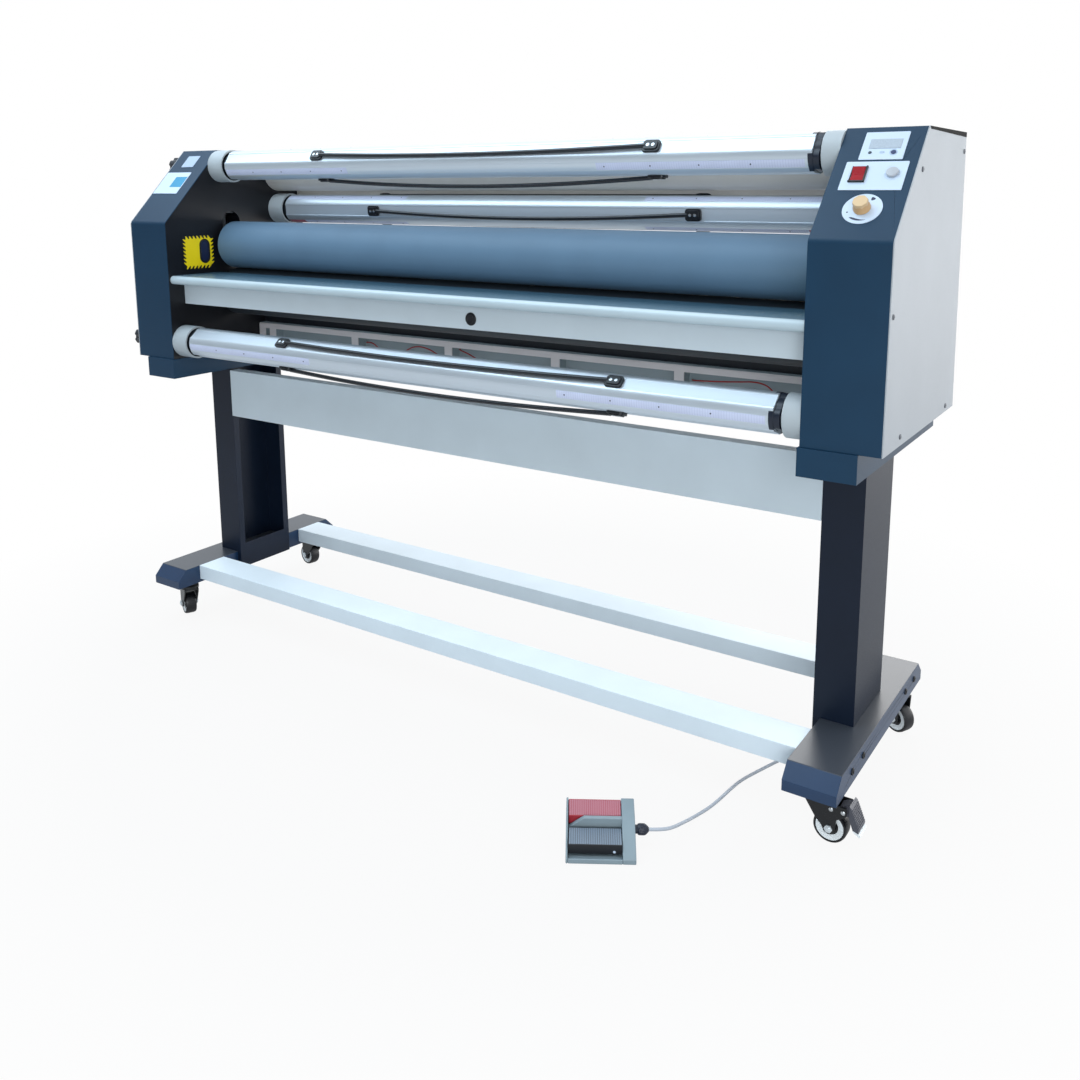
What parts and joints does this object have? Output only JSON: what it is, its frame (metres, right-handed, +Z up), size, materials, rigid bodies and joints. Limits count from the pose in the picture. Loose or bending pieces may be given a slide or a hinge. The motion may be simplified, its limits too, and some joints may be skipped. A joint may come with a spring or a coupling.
{
  "type": "large format laminator",
  "caption": "Free-standing wide roll laminator with side housings, a lifting pressure roller over a fixed roller, film shafts, feed table, caster stand and wired foot switch.",
  "frame": {"origin": "on the floor under the middle of the rollers' length, below the middle of the stand", "axes": "+X along the rollers to the operator's right, -Y towards the operator at the feed side, +Z up"},
  "size_m": [1.9403, 0.8003, 1.225],
  "materials": {
    "stand_paint": "satin powder coat",
    "stretcher_paint": "satin powder coat",
    "cover_blue": "fine textured powder coat",
    "panel_grey": "satin powder coat",
    "frame_paint": "satin powder coat",
    "table_paint": "satin powder coat",
    "beam_paint": "satin powder coat",
    "zinc_steel": "bright zinc plate",
    "machined_steel": "machined",
    "silicone": "smooth matt silicone",
    "shaft_alloy": "anodised extrusion",
    "holder_paint": "satin painted casting",
    "motor_paint": "satin paint",
    "plug_plastic": "matt moulded",
    "knob_plastic": "matt moulded",
    "label_plate": "satin anodised plate",
    "display_plastic": "smooth overlay",
    "switch_black": "smooth moulded",
    "rocker_red": "glossy moulded",
    "button_grey": "matt moulded",
    "dial_beige": "matt moulded",
    "sensor_yellow": "printed film",
    "lead_red": "silicone insulation",
    "gland_black": "matt moulded",
    "pedal_casting": "hammered paint on a casting",
    "pedal_red": "ribbed moulded",
    "pedal_black": "ribbed moulded",
    "cord_grey": "smooth jacket",
    "wheel_tyre": "smooth solid tyre",
    "brake_plastic": "matt moulded"
  },
  "bodies": {
    "frame": {"left_foot": "stand_paint", "right_foot": "stand_paint", "left_column": "stand_paint", "right_column": "stand_paint", "saddles": "stand_paint", "stretchers": "stretcher_paint", "cross_panel": "frame_paint", "frame_bolts": "zinc_steel", "caster_plates": "zinc_steel", "left_side_frame": "frame_paint", "right_side_frame": "frame_paint", "left_front_cover": "cover_blue", "right_front_cover": "cover_blue", "left_side_panel": "panel_grey", "right_side_panel": "panel_grey", "top_covers": "panel_grey", "cover_screws": "zinc_steel", "feed_table": "table_paint", "table_apron": "table_paint", "apron_plug": "plug_plastic", "tie_beam": "beam_paint", "lower_frame": "frame_paint", "heater_leads": "lead_red", "rear_cowl": "frame_paint", "drive_motor": "motor_paint", "lift_actuators": "motor_paint", "shaft_holders": "holder_paint", "panel_plates": "label_plate", "display_module": "display_plastic", "rocker_bezel": "switch_black", "power_inlet": "switch_black", "sensor_windows": "sensor_yellow", "cord_glands": "gland_black", "pedal_base": "pedal_casting", "pedal_cord": "cord_grey"},
    "lift": {"lift_yokes": "machined_steel"},
    "top_roller": {"top_core": "machined_steel", "top_sleeve": "silicone"},
    "bottom_roller": {"bottom_core": "machined_steel", "bottom_sleeve": "silicone"},
    "upper_shaft": {"upper_shaft": "shaft_alloy"},
    "rear_shaft": {"rear_shaft": "shaft_alloy"},
    "lower_shaft": {"lower_shaft": "shaft_alloy"},
    "upper_knob": {"upper_knob": "knob_plastic"},
    "rear_knob": {"rear_knob": "knob_plastic"},
    "lower_knob": {"lower_knob": "knob_plastic"},
    "speed_knob": {"speed_knob": "dial_beige"},
    "power_rocker": {"power_rocker": "rocker_red"},
    "push_button": {"push_button": "button_grey"},
    "front_right_fork": {"front_right_fork": "zinc_steel"},
    "front_right_wheel": {"front_right_wheel": "wheel_tyre"},
    "rear_right_fork": {"rear_right_fork": "zinc_steel"},
    "rear_right_wheel": {"rear_right_wheel": "wheel_tyre"},
    "front_left_fork": {"front_left_fork": "zinc_steel"},
    "front_left_wheel": {"front_left_wheel": "wheel_tyre"},
    "rear_left_fork": {"rear_left_fork": "zinc_steel"},
    "rear_left_wheel": {"rear_left_wheel": "wheel_tyre"},
    "caster_brake": {"caster_brake": "brake_plastic"},
    "red_pedal": {"red_pedal": "pedal_red"},
    "black_pedal": {"black_pedal": "pedal_black"}
  },
  "joints": [
    {"name": "roller_lift", "type": "slide", "parent": "frame", "child": "lift", "axis": [0, 0, 1], "range_m": [0, 0.028]},
    {"name": "top_roller_turn", "type": "hinge", "parent": "lift", "child": "top_roller", "pos_m": [0, -0.063, 0.984], "axis": [1, 0, 0], "continuous": true},
    {"name": "bottom_roller_turn", "type": "hinge", "parent": "frame", "child": "bottom_roller", "pos_m": [0, -0.063, 0.8637], "axis": [1, 0, 0], "continuous": true},
    {"name": "upper_shaft_turn", "type": "hinge", "parent": "frame", "child": "upper_shaft", "pos_m": [0, -0.088, 1.184], "axis": [1, 0, 0], "continuous": true},
    {"name": "rear_shaft_turn", "type": "hinge", "parent": "frame", "child": "rear_shaft", "pos_m": [0, 0.104, 1.074], "axis": [1, 0, 0], "continuous": true},
    {"name": "lower_shaft_turn", "type": "hinge", "parent": "frame", "child": "lower_shaft", "pos_m": [0, -0.227, 0.749], "axis": [1, 0, 0], "continuous": true},
    {"name": "upper_tension_turn", "type": "hinge", "parent": "frame", "child": "upper_knob", "pos_m": [-0.97, -0.088, 1.184], "axis": [1, 0, 0], "range_deg": [0, 330]},
    {"name": "rear_tension_turn", "type": "hinge", "parent": "frame", "child": "rear_knob", "pos_m": [-0.97, 0.104, 1.074], "axis": [1, 0, 0], "range_deg": [0, 330]},
    {"name": "lower_tension_turn", "type": "hinge", "parent": "frame", "child": "lower_knob", "pos_m": [-0.97, -0.227, 0.749], "axis": [1, 0, 0], "range_deg": [0, 330]},
    {"name": "speed_turn", "type": "hinge", "parent": "frame", "child": "speed_knob", "pos_m": [0.8814, -0.2282, 1.0998], "axis": [0, 0.721, -0.6929], "range_deg": [0, 280]},
    {"name": "power_rock", "type": "hinge", "parent": "frame", "child": "power_rocker", "pos_m": [0.85675, -0.1682, 1.14491], "axis": [-1, 0, 0], "range_deg": [0, 16]},
    {"name": "button_press", "type": "slide", "parent": "frame", "child": "push_button", "axis": [0, 0.721, -0.6929], "range_m": [0, 0.0025], "stiffness_N_per_m": 600, "springref_m": -0.001},
    {"name": "front_right_swivel", "type": "hinge", "parent": "frame", "child": "front_right_fork", "pos_m": [0.86, -0.228, 0.09], "axis": [0, 0, 1], "continuous": true},
    {"name": "front_right_roll", "type": "hinge", "parent": "front_right_fork", "child": "front_right_wheel", "pos_m": [0.884, -0.228, 0.03], "axis": [0, 1, 0], "continuous": true},
    {"name": "rear_right_swivel", "type": "hinge", "parent": "frame", "child": "rear_right_fork", "pos_m": [0.86, 0.222, 0.09], "axis": [0, 0, 1], "continuous": true},
    {"name": "rear_right_roll", "type": "hinge", "parent": "rear_right_fork", "child": "rear_right_wheel", "pos_m": [0.88157, 0.21148, 0.03], "axis": [0.4384, 0.8988, 0], "continuous": true},
    {"name": "front_left_swivel", "type": "hinge", "parent": "frame", "child": "front_left_fork", "pos_m": [-0.86, -0.228, 0.09], "axis": [0, 0, 1], "continuous": true},
    {"name": "front_left_roll", "type": "hinge", "parent": "front_left_fork", "child": "front_left_wheel", "pos_m": [-0.88175, -0.21786, 0.03], "axis": [-0.4226, -0.9063, 0], "continuous": true},
    {"name": "rear_left_swivel", "type": "hinge", "parent": "frame", "child": "rear_left_fork", "pos_m": [-0.86, 0.222, 0.09], "axis": [0, 0, 1], "continuous": true},
    {"name": "rear_left_roll", "type": "hinge", "parent": "rear_left_fork", "child": "rear_left_wheel", "pos_m": [-0.88364, 0.22617, 0.03], "axis": [-0.1736, -0.9848, 0], "continuous": true},
    {"name": "brake_press", "type": "hinge", "parent": "front_right_fork", "child": "caster_brake", "pos_m": [0.908, -0.228, 0.068], "axis": [0, 1, 0], "range_deg": [0, 12]},
    {"name": "red_pedal_press", "type": "hinge", "parent": "frame", "child": "red_pedal", "pos_m": [0.53101, -0.42716, 0.0475], "axis": [0.8526, 0.5225, 0], "range_deg": [0, 8], "stiffness_Nm_per_rad": 8, "springref_deg": -1.15},
    {"name": "black_pedal_press", "type": "hinge", "parent": "frame", "child": "black_pedal", "pos_m": [0.55688, -0.46937, 0.0265], "axis": [0.8526, 0.5225, 0], "range_deg": [0, 6], "stiffness_Nm_per_rad": 8, "springref_deg": -1.15}
  ]
}
